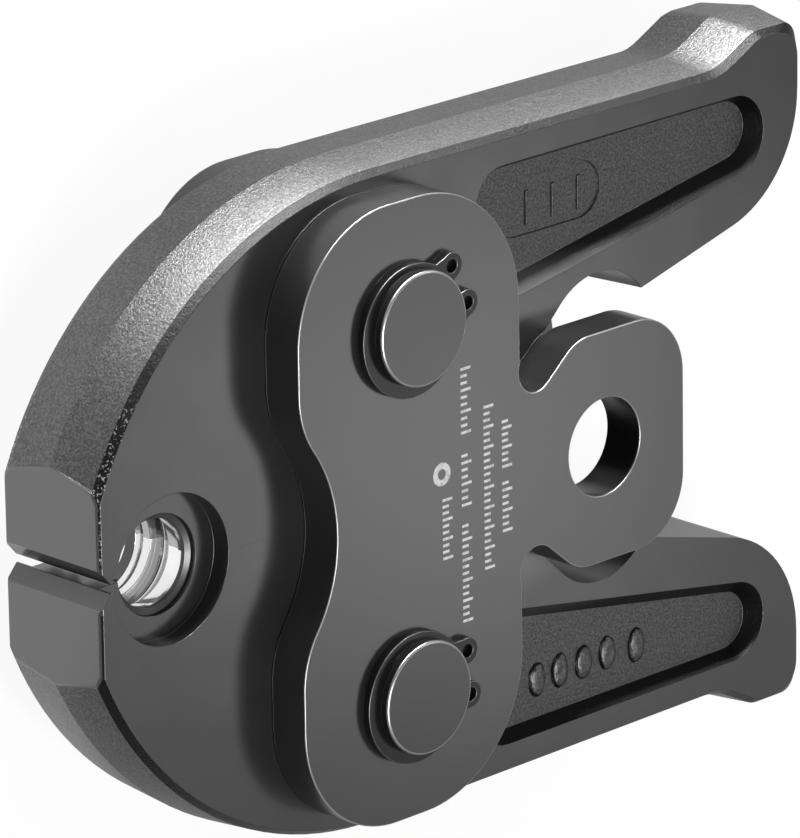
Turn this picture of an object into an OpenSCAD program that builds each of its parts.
// Press fitting tool jaw: two forged jaws on two pins between T-shaped side plates.
// Millimetres. X runs from the nose to the tails, Y towards the upper jaw,
// Z towards the front plate. The origin is on the tool pin bore at mid-thickness.

/* [Jaws] */
// Thickness of each forged jaw
jaw_thickness = 18.6; // [14:0.1:24]
// Radius of the outer curve at the jaw face
back_radius = 54.5; // [50:0.1:59]
// X of the outer curve's centre
back_centre_x = -37.6; // [-42:0.1:-33]
// Y of the outer curve's centre
back_centre_y = -9; // [-12:0.1:-6]
// How far the parting ridge stands out at mid-thickness
draft_bulge = 1.5; // [1.1:0.05:2.2]
// Width of the rounded edge left where the ground face meets the draft
edge_width = 0.8; // [0.3:0.05:1]
// Height of that rounded edge
edge_height = 1.3; // [0.4:0.05:1.8]
// X of the machined nose flat
nose_x = -88.3; // [-89.5:0.1:-87]
// Chamfer where the nose flat meets the jaw faces
nose_chamfer = 0.5; // [0.2:0.05:1]
// Height of the chamfer on each lip at the nose
lip_chamfer_height = 2.3; // [1:0.1:3.5]
// Depth of the chamfer on each lip along X
lip_chamfer_depth = 2; // [1:0.1:3.5]
// Half of the gap between the lips in front of the profile
lip_half_gap = 0.6; // [0.3:0.05:1]
// Half of the gap between the jaws behind the profile
seam_half_gap = 0.03; // [0.02:0.01:0.1]

/* [Press profile] */
// X of the press profile's axis
profile_x = -75.6; // [-77:0.1:-74.5]
// Radius of the two end rings that touch the tube
end_land_radius = 6.1; // [5.6:0.05:6.6]
// Radius of the wide land beside the bead groove
wide_land_radius = 6.5; // [6.2:0.05:7]
// Radius of the bead groove
bead_groove_radius = 8.3; // [7.6:0.1:9]
// Radius of the thin ridge inside the bead groove
bead_ridge_radius = 7.6; // [7.2:0.1:8]
// Radius of the counterbore on both faces
counterbore_radius = 10.4; // [9.5:0.1:11.5]
// Depth of each counterbore
counterbore_depth = 2.8; // [2:0.1:4]

/* [Arms] */
// Y of the arm's outer edge at the face
arm_top = 45.2; // [44:0.1:47]
// X of the tail end
tail_x = 46.1; // [44:0.1:48]
// Y of the top of the tail hump
tail_top = 49.1; // [48:0.1:50.5]
// Radius of the hump's outer corner
hump_radius = 4.2; // [3:0.1:6]
// Slope of the hump's inner side, in degrees
shoulder_angle = 27; // [20:1:35]
// Radius of the hollow between the arm and the hump
saddle_radius = 12; // [6:0.5:14]
// Radius of the cam curve under the tail
cam_radius = 17.8; // [16:0.1:19]
// Y where the cam curve leaves the tail end
cam_start_y = 40.3; // [39:0.1:42]
// Slope of the roller track behind the cam curve, in degrees
track_slope = 14.5; // [12:0.5:17]
// X where the roller track ends at the recess
track_end_x = 14; // [12.5:0.5:15.5]
// Radius of the recess beside the tool pin
recess_radius = 10.8; // [9.5:0.1:12]
// How far the recess narrows from the faces to mid-thickness
recess_draft = 0.6; // [0.3:0.1:1]
// X of the recess centre
recess_x = 5.6; // [4.5:0.1:6.5]
// Y of the recess centre
recess_y = 11.7; // [10.5:0.1:12.5]

/* [Arm pockets] */
// Depth of the sloped pockets in the arm faces
pocket_depth = 2.5; // [1.5:0.1:3.5]
// How far the pocket's inner wall slopes in over its depth
pocket_wall_run = 2; // [1.3:0.1:2.4]
// How far the pocket's outer wall slopes in over its depth
pocket_top_run = 1.2; // [0.6:0.1:1.8]
// Radius of the pocket's round end
pocket_end_radius = 5.85; // [4.8:0.05:6.6]
// X of the centre of the pocket's round end
pocket_end_x = 33.2; // [31:0.1:35]
// Y of the centre of the pocket's round end
pocket_end_y = 35.9; // [35:0.1:36.6]
// X of the pocket's inner end
pocket_start_x = -18; // [-20:0.5:-14]
// Half height of the plaque sunk in the upper pocket's floor
plaque_radius = 4.1; // [3:0.1:4.6]

/* [Side plates] */
// Thickness of each side plate
plate_thickness = 6.3; // [5:0.1:8]
// Gap between each plate and the jaws
plate_gap = 0.1; // [0.05:0.01:0.3]
// Half height of the plate over both lobes
plate_half_height = 43.7; // [42:0.1:45.5]
// X of the plate's left edge
plate_left_x = -57.9; // [-59.5:0.1:-56.5]
// X of the right edge of the lobes
lobe_right_x = -16.4; // [-17.5:0.1:-16]
// Corner radius of the lobes on the tab side
lobe_radius = 18.8; // [15:0.1:20]
// Corner radius of the lobes on the nose side
lobe_left_radius = 17; // [14:0.1:19]
// X of the bottom of the waist
waist_x = -51.3; // [-53:0.1:-49.5]
// Radius of the waist
waist_radius = 22; // [18:0.5:25]
// Radius of the round shoulders on both sides of the waist
waist_shoulder_radius = 14; // [10:0.5:16]
// Half height of the tab
tab_half_height = 16.65; // [15.5:0.05:18]
// X of the tab's end
tab_end_x = 15.8; // [14:0.1:18]
// Corner radius at the tab's end
tab_radius = 9.4; // [6:0.1:11]
// Corner radius beside the notches
tab_root_radius = 7; // [5:0.1:7.5]
// Radius of the notches between the tab and the lobes
notch_radius = 3.4; // [3.2:0.05:3.6]
// X of the notch centre
notch_x = -13.2; // [-13.4:0.05:-12.9]
// Y of the notch centre
notch_y = 14.5; // [14.2:0.05:15.2]
// Radius of the bore for the tool's retaining pin
tool_bore_radius = 7; // [6:0.05:8]

/* [Pins and rings] */
// X of both pivot axes
pivot_x = -37.1; // [-39:0.1:-35.5]
// Distance of each pivot axis from the centre line
pivot_y = 26.1; // [25.5:0.1:27]
// Radius of the pivot pins
pin_radius = 8; // [7:0.05:8.6]
// How far the pin stands out of the plate
pin_stand_out = 2.7; // [2.3:0.1:4]
// Chamfer on the pin ends
pin_chamfer = 0.2; // [0.1:0.05:0.6]
// Radial clearance of the pins in the jaws
pin_clearance = 0.05; // [0.02:0.01:0.1]
// Depth of the ring groove in the pin
groove_depth = 0.4; // [0.3:0.05:0.7]
// Thickness of the retaining rings
ring_thickness = 1.2; // [0.9:0.05:1.5]
// Outer radius of the ring opposite its lugs
ring_radius = 10.1; // [9.8:0.1:10.6]
// How far the ring's outer circle lies off its bore, away from the lugs
ring_shift = 0.8; // [0.4:0.1:1]
// Radius of each lug
lug_radius = 1.9; // [1.5:0.1:2.2]
// Distance of the lug holes from the pin axis
lug_hole_distance = 9.7; // [9.5:0.05:10.5]
// Radius of the plier holes in the lugs
lug_hole_radius = 0.95; // [0.7:0.05:1.1]
// Angle from the ring's middle line to each lug hole
lug_half_angle = 19.5; // [17:0.5:22]

/* [Return spring] */
// X of the spring's axis
spring_x = -22; // [-24:0.5:-20]
// Mean radius of the coil
coil_radius = 2.7; // [2.4:0.1:3]
// Radius of the spring wire
wire_radius = 0.5; // [0.35:0.05:0.6]
// Number of turns
coil_turns = 11; // [8:1:14]
// Half the length of the fitted spring
spring_half_length = 15.6; // [14:0.1:17]
// Radius of the spring bores in the jaws
spring_bore_radius = 3.6; // [3.4:0.1:4.2]

/* [Hidden] */
$fn = 96;
half_jaw = jaw_thickness / 2;
plate_inner_z = half_jaw + plate_gap;
plate_outer_z = plate_inner_z + plate_thickness;
pin_end_z = plate_outer_z + pin_stand_out;
ring_low_z = plate_outer_z + 0.05;
groove_low_z = plate_outer_z;
groove_height = ring_thickness + 0.1;
groove_radius = pin_radius - groove_depth;
plate_hole_radius = pin_radius + 0.03;
track_tangent_x = tail_x - cam_radius + cam_radius * sin(track_slope);
track_tangent_y = cam_start_y - cam_radius * cos(track_slope);
track_end_y = track_tangent_y - (track_tangent_x - track_end_x) * tan(track_slope);
recess_flank_angle = 44;
flank_top_x = recess_x - recess_radius * sin(recess_flank_angle);
flank_top_y = recess_y + recess_radius * cos(recess_flank_angle);
chamber_y = 6.5;
flank_low_x = flank_top_x - (flank_top_y - chamber_y) / tan(recess_flank_angle);
chamber_left_x = -31;
seam_end_x = -48;
spring_bore_depth = spring_half_length + 0.4;
plaque_left_x = -8;
plaque_right_x = 4.4;
plaque_y = 34.1;
hump_x = tail_x - hump_radius;
hump_y = tail_top - hump_radius;
shoulder_radius = 3;
shoulder_x = hump_x - 2.9;
shoulder_y = tail_top - shoulder_radius;

// points of a circle from one angle to another, in equal steps
function arc_points(cx, cy, r, a0, a1, n) =
    [for (i = [0 : n]) let (a = a0 + (a1 - a0) * i / n) [cx + r * cos(a), cy + r * sin(a)]];

// the saddle's arc climbs to the hump's slope, which runs straight up to its top round
shoulder_low_y = shoulder_y + shoulder_radius * cos(shoulder_angle);
shoulder_low_x = shoulder_x - shoulder_radius * sin(shoulder_angle);
saddle_end_y = arm_top + saddle_radius * (1 - cos(shoulder_angle));
saddle_end_x = shoulder_low_x - (shoulder_low_y - saddle_end_y) / tan(shoulder_angle);
saddle_centre_x = saddle_end_x - saddle_radius * sin(shoulder_angle);
saddle_centre_y = arm_top + saddle_radius;

// outer edge of the forging, d further out than the face edge; its tail corner gets keener
function outer_edge(d) = let (corner = hump_radius - 2 * d) concat(
    arc_points(back_centre_x, back_centre_y, back_radius + d, 173.5, 90, 30),
    [for (t = [0.25, 0.5, 0.75]) [back_centre_x + t * (saddle_centre_x - back_centre_x),
        (1 - t) * (back_centre_y + back_radius) + t * arm_top + d]],
    arc_points(saddle_centre_x, saddle_centre_y, saddle_radius - d, -90, -90 + shoulder_angle, 6),
    arc_points(shoulder_x, shoulder_y, shoulder_radius + d, 90 + shoulder_angle, 90, 6),
    arc_points(tail_x + d - corner, tail_top + d - corner, corner, 90, 0, 9),
    [[tail_x + d, 30], [tail_x + d, 10]]);

// inner ends of the same stations, all covered by material that is cut away later
function inner_edge() = concat(
    arc_points(back_centre_x, back_centre_y, 4, 173.5, 90, 30),
    [for (t = [0.25, 0.5, 0.75]) [back_centre_x + t * 50, -3 + t * 2]],
    [for (i = [0 : 6]) [14 + i, 0]],
    [for (i = [0 : 6]) [21 + i, 1]],
    [for (i = [0 : 9]) [28 + i, 3]],
    [[39, 5], [41, 6]]);

// forged blank: flat faces, rounded edges, draft on both halves, ridge at mid-thickness
module forged_blank() {
    z2 = half_jaw - edge_height;
    levels = [[-half_jaw, 0], [-z2, edge_width], [0, draft_bulge], [z2, edge_width], [half_jaw, 0]];
    base = inner_edge();
    n = len(base);
    m = len(levels);
    points = concat(
        [for (l = levels) for (p = outer_edge(l[1])) [p[0], p[1], l[0]]],
        [for (l = levels) for (p = base) [p[0], p[1], l[0]]]);
    function outer(k, i) = k * n + i;
    function inner(k, i) = (m + k) * n + i;
    faces = concat(
        [for (k = [0 : m - 2]) for (i = [0 : n - 2])
            each quad(outer(k, i), outer(k, i + 1), outer(k + 1, i + 1), outer(k + 1, i))],
        [for (k = [0 : m - 2]) for (i = [0 : n - 2])
            each quad(inner(k + 1, i), inner(k + 1, i + 1), inner(k, i + 1), inner(k, i))],
        [for (i = [0 : n - 2])
            each quad(outer(m - 1, i), outer(m - 1, i + 1), inner(m - 1, i + 1), inner(m - 1, i))],
        [for (i = [0 : n - 2])
            each quad(inner(0, i), inner(0, i + 1), outer(0, i + 1), outer(0, i))],
        [for (k = [0 : m - 2])
            each quad(outer(k, 0), outer(k + 1, 0), inner(k + 1, 0), inner(k, 0))],
        [for (k = [0 : m - 2])
            each quad(inner(k, n - 1), inner(k + 1, n - 1), outer(k + 1, n - 1), outer(k, n - 1))]);
    polyhedron(points = points, faces = faces, convexity = 6);
}

function quad(a, b, c, d) = [[a, b, c], [a, c, d]];

// plan of the inner edges: seam, spring chamber, recess, roller track and cam curve
module jaw_plan() {
    difference() {
        union() {
            polygon([
                [-100, seam_half_gap], [seam_end_x, seam_half_gap], [chamber_left_x, chamber_y],
                [flank_low_x, chamber_y], [flank_top_x, flank_top_y], [recess_x, recess_y + 2],
                [track_end_x, track_end_y], [track_tangent_x, track_tangent_y],
                [tail_x - cam_radius, cam_start_y], [tail_x, cam_start_y], [60, cam_start_y],
                [60, 60], [-100, 60]]);
            translate([tail_x - cam_radius, cam_start_y]) circle(r = cam_radius);
        }
        translate([recess_x, recess_y]) circle(r = recess_radius - recess_draft);
    }
}

// the recess: two shallow cones that meet at mid-thickness
module recess() {
    over = 1 + 1 / half_jaw;
    translate([recess_x, recess_y, 0]) rotate_extrude() polygon([
        [0, -half_jaw - 1], [recess_radius - recess_draft + recess_draft * over, -half_jaw - 1],
        [recess_radius - recess_draft, 0],
        [recess_radius - recess_draft + recess_draft * over, half_jaw + 1], [0, half_jaw + 1]]);
}

// stepped press profile turned about the tube axis, with a counterbore on each face
module press_profile() {
    z1 = half_jaw;
    z2 = half_jaw - counterbore_depth;
    translate([profile_x, 0, 0]) rotate_extrude() polygon([
        [0, z1 + 1], [counterbore_radius, z1 + 1], [counterbore_radius, z2],
        [end_land_radius + 0.9, z2],
        [end_land_radius + 0.9, z2 - 0.9], [end_land_radius, z2 - 1.2], [end_land_radius, z2 - 2.4],
        [wide_land_radius, z2 - 2.7], [wide_land_radius, z2 - 4.7],
        [bead_groove_radius, z2 - 5.2], [bead_groove_radius, z2 - 6.2],
        [bead_ridge_radius, z2 - 6.4], [bead_ridge_radius, z2 - 6.7],
        [bead_groove_radius, z2 - 6.9], [bead_groove_radius, z2 - 7.7],
        [wide_land_radius, z2 - 8.2], [wide_land_radius, z2 - 9.6],
        [end_land_radius + 1.2, z2 - 9.9], [end_land_radius + 1.2, z2 - 10.9],
        [end_land_radius + 0.4, z2 - 11.2], [end_land_radius + 0.4, -z2],
        [counterbore_radius, -z2], [counterbore_radius, -z1 - 1], [0, -z1 - 1]]);
}

// outline of an arm pocket, a share s of the way in from its rim to its floor
function pocket_outline(s) = let (
        low_slope = 9.7,
        low_in = s * pocket_wall_run,
        top_in = s * pocket_top_run,
        r = pocket_end_radius - (low_in + top_in) / 2,
        cy = pocket_end_y + (low_in - top_in) / 2,
        top = cy + r,
        ex = pocket_end_x + r * sin(low_slope),
        ey = cy - r * cos(low_slope),
        x0 = pocket_start_x + low_in,
        low = ey - (ex - x0) * tan(low_slope),
        c = max(5 - low_in, 0.5))
    concat(
        arc_points(pocket_end_x, cy, r, -90 + low_slope, 90, 16),
        arc_points(x0 + c, top - c, c, 90, 180, 6),
        [[x0, low]]);

// sloped pocket cut from the front face downwards
module arm_pocket() {
    above = 0.4;
    rim = pocket_outline(-above);
    floor_line = pocket_outline(1);
    n = len(rim);
    points = concat(
        [for (p = rim) [p[0], p[1], half_jaw + pocket_depth * above]],
        [for (p = floor_line) [p[0], p[1], half_jaw - pocket_depth]]);
    faces = concat(
        [[for (i = [n - 1 : -1 : 0]) i]],
        [[for (i = [0 : n - 1]) n + i]],
        [for (i = [0 : n - 1]) let (j = (i + 1) % n) each [[i, j, n + j], [i, n + j, n + i]]]);
    polyhedron(points = points, faces = faces, convexity = 2);
}

// shallow plaque recess with round ends in the pocket floor
module plaque_recess() {
    translate([0, plaque_y, half_jaw - pocket_depth - 0.3]) linear_extrude(1) union() {
        translate([plaque_left_x, -plaque_radius])
            square([plaque_right_x - plaque_left_x, 2 * plaque_radius]);
        translate([plaque_left_x, 0]) circle(r = plaque_radius);
        translate([plaque_right_x, 0]) circle(r = plaque_radius);
    }
}

module jaw_body() {
    difference() {
        intersection() {
            forged_blank();
            translate([0, 0, -half_jaw - 1]) linear_extrude(jaw_thickness + 2) jaw_plan();
        }
        translate([0, 0, -half_jaw - 1]) linear_extrude(jaw_thickness + 2) polygon([
            [-120, -10], [nose_x + lip_chamfer_depth, -10], [nose_x + lip_chamfer_depth, lip_half_gap],
            [nose_x, lip_half_gap + lip_chamfer_height], [nose_x, 40], [-120, 40]]);
        for (side = [-1, 1]) translate([nose_x, -5, side * half_jaw]) rotate([0, 45, 0])
            translate([-nose_chamfer / sqrt(2), 0, -nose_chamfer / sqrt(2)])
            cube([nose_chamfer * sqrt(2), 40, nose_chamfer * sqrt(2)]);
        recess();
        translate([-110, -10, -half_jaw - 1])
            cube([profile_x + 110, 10 + lip_half_gap, jaw_thickness + 2]);
        press_profile();
        translate([pivot_x, pivot_y, -half_jaw - 1])
            cylinder(r = pin_radius + pin_clearance, h = jaw_thickness + 2);
        translate([spring_x, 0, 0]) rotate([-90, 0, 0])
            cylinder(r = spring_bore_radius, h = spring_bore_depth);
        arm_pocket();
        mirror([0, 0, 1]) arm_pocket();
    }
}

module upper_jaw() {
    color([0.2, 0.2, 0.21]) difference() {
        jaw_body();
        plaque_recess();
    }
}

module lower_jaw() {
    color([0.2, 0.2, 0.21]) mirror([0, 1, 0]) jaw_body();
}

// the material cut away at a convex corner of radius r, pointing along sx and sy
module corner_cut(x, y, sx, sy, r) {
    difference() {
        translate([sx > 0 ? x - r : x - 1, sy > 0 ? y - r : y - 1]) square([r + 1, r + 1]);
        translate([x - sx * r, y - sy * r]) circle(r = r);
    }
}

// the waist: a hollow arc between two round shoulders that run into the plate's left edge
module waist_cut() {
    hollow_x = waist_x - waist_radius;
    shoulder_x = plate_left_x + waist_shoulder_radius;
    span = waist_radius + waist_shoulder_radius;
    rise = sqrt(pow(span, 2) - pow(shoulder_x - hollow_x, 2));
    turn = asin(rise / span);
    polygon(concat(
        [[plate_left_x - 1, rise]],
        arc_points(shoulder_x, rise, waist_shoulder_radius, 180, 180 + turn, 12),
        arc_points(hollow_x, 0, waist_radius, turn - 3, 3 - turn, 24),
        arc_points(shoulder_x, -rise, waist_shoulder_radius, 180 - turn, 180, 12),
        [[plate_left_x - 1, -rise]]));
}

// the notch beside the tab: a round bottom, then a straight flank tangent to the tab's root
module notch_cut() {
    root_x = notch_x + notch_radius + tab_root_radius;
    root_y = tab_half_height - tab_root_radius;
    span = sqrt(pow(root_x - notch_x, 2) + pow(root_y - notch_y, 2));
    turn = atan2(root_y - notch_y, root_x - notch_x) - acos((notch_radius + tab_root_radius) / span);
    polygon(concat(
        arc_points(notch_x, notch_y, notch_radius, 150, 360 + turn, 24),
        arc_points(root_x, root_y, tab_root_radius, 180 + turn, 90, 12),
        [[root_x, tab_half_height + 1],
            [notch_x + notch_radius * cos(150), tab_half_height + 1]]));
}

// half of the plate outline above the centre line
module plate_half_plan() {
    difference() {
        union() {
            translate([plate_left_x, -1])
                square([lobe_right_x - plate_left_x, plate_half_height + 1]);
            polygon([[lobe_right_x - 1, -1], [tab_end_x, -1], [tab_end_x, tab_half_height],
                [notch_x, tab_half_height], [notch_x, notch_y - 1], [lobe_right_x - 1, notch_y - 1]]);
        }
        corner_cut(lobe_right_x, plate_half_height, 1, 1, lobe_radius);
        corner_cut(plate_left_x, plate_half_height, -1, 1, lobe_left_radius);
        corner_cut(tab_end_x, tab_half_height, 1, 1, tab_radius);
        notch_cut();
    }
}

module side_plate_blank() {
    difference() {
        linear_extrude(plate_thickness) difference() {
            union() {
                plate_half_plan();
                mirror([0, 1]) plate_half_plan();
            }
            waist_cut();
        }
        translate([0, 0, -1]) cylinder(r = tool_bore_radius, h = plate_thickness + 2);
        translate([pivot_x, pivot_y, -1]) cylinder(r = plate_hole_radius, h = plate_thickness + 2);
        translate([pivot_x, -pivot_y, -1]) cylinder(r = plate_hole_radius, h = plate_thickness + 2);
    }
}

module front_side_plate() {
    color([0.22, 0.22, 0.23]) translate([0, 0, plate_inner_z]) side_plate_blank();
}

module back_side_plate() {
    color([0.22, 0.22, 0.23]) translate([0, 0, -plate_outer_z]) side_plate_blank();
}

// turned pin with chamfered ends and a ring groove near each end
module pivot_pin() {
    g0 = groove_low_z;
    g1 = groove_low_z + groove_height;
    e = pin_end_z;
    rotate_extrude() polygon([
        [0, -e], [pin_radius - pin_chamfer, -e], [pin_radius, -e + pin_chamfer],
        [pin_radius, -g1], [groove_radius, -g1], [groove_radius, -g0], [pin_radius, -g0],
        [pin_radius, g0], [groove_radius, g0], [groove_radius, g1], [pin_radius, g1],
        [pin_radius, e - pin_chamfer], [pin_radius - pin_chamfer, e], [0, e]]);
}

module upper_pivot_pin() {
    color([0.24, 0.24, 0.25]) translate([pivot_x, pivot_y, 0]) pivot_pin();
}

module lower_pivot_pin() {
    color([0.24, 0.24, 0.25]) translate([pivot_x, -pivot_y, 0]) pivot_pin();
}

// one lug of the retaining ring, with a straight flank on the side away from the gap
module ring_lug(inner) {
    rotate(lug_half_angle) {
        translate([lug_hole_distance, 0]) circle(r = lug_radius);
        polygon([[inner - 0.4, -lug_radius], [lug_hole_distance, -lug_radius],
            [lug_hole_distance + lug_radius * 0.3, lug_radius * 0.9],
            [inner * 0.8, inner * 0.49]]);
    }
}

// external retaining ring with two lugs, its gap on the +X side
module retaining_ring() {
    inner = groove_radius + 0.02;
    linear_extrude(ring_thickness) difference() {
        union() {
            translate([-ring_shift, 0]) circle(r = ring_radius - ring_shift);
            ring_lug(inner);
            mirror([0, 1]) ring_lug(inner);
        }
        circle(r = inner);
        polygon([[0, 0], [14, -14 * tan(lug_half_angle * 0.42)], [14, 14 * tan(lug_half_angle * 0.42)]]);
        for (s = [-1, 1]) rotate(s * lug_half_angle)
            translate([lug_hole_distance, 0]) circle(r = lug_hole_radius);
    }
}

module upper_front_ring() {
    color([0.18, 0.18, 0.19]) translate([pivot_x, pivot_y, ring_low_z]) rotate(26.7) retaining_ring();
}

module lower_front_ring() {
    color([0.18, 0.18, 0.19]) translate([pivot_x, -pivot_y, ring_low_z]) rotate(5.4) retaining_ring();
}

module upper_back_ring() {
    color([0.18, 0.18, 0.19]) translate([pivot_x, pivot_y, -ring_low_z - ring_thickness])
        rotate(35) retaining_ring();
}

module lower_back_ring() {
    color([0.18, 0.18, 0.19]) translate([pivot_x, -pivot_y, -ring_low_z - ring_thickness])
        rotate(-20) retaining_ring();
}

// height of the coil after a share t of its turns, with closed turns at both ends
function coil_rise(t) = let (
        e = 1.2 / coil_turns,
        w = 2 * wire_radius * 1.04 * 1.2,
        h = spring_half_length - wire_radius)
    t < e ? -h + w * t / e :
    t > 1 - e ? h - w * (1 - t) / e :
    -h + w + (2 * h - 2 * w) * (t - e) / (1 - 2 * e);

module return_spring() {
    steps = coil_turns * 20;
    ring = 8;
    points = [for (i = [0 : steps]) let (t = i / steps, a = 360 * coil_turns * t)
        for (k = [0 : ring - 1]) let (b = 360 * k / ring, r = coil_radius + wire_radius * cos(b))
            [spring_x + r * cos(a), coil_rise(t) + wire_radius * sin(b), r * sin(a)]];
    last = steps * ring;
    faces = concat(
        [[for (k = [0 : ring - 1]) k]],
        [for (i = [0 : steps - 1]) for (k = [0 : ring - 1])
            let (a = i * ring + k, b = i * ring + (k + 1) % ring)
            each [[a, a + ring, b + ring], [a, b + ring, b]]],
        [[for (k = [ring - 1 : -1 : 0]) last + k]]);
    color([0.55, 0.55, 0.57]) polyhedron(points = points, faces = faces, convexity = 10);
}

upper_jaw();
lower_jaw();
front_side_plate();
back_side_plate();
upper_pivot_pin();
lower_pivot_pin();
upper_front_ring();
lower_front_ring();
upper_back_ring();
lower_back_ring();
return_spring();
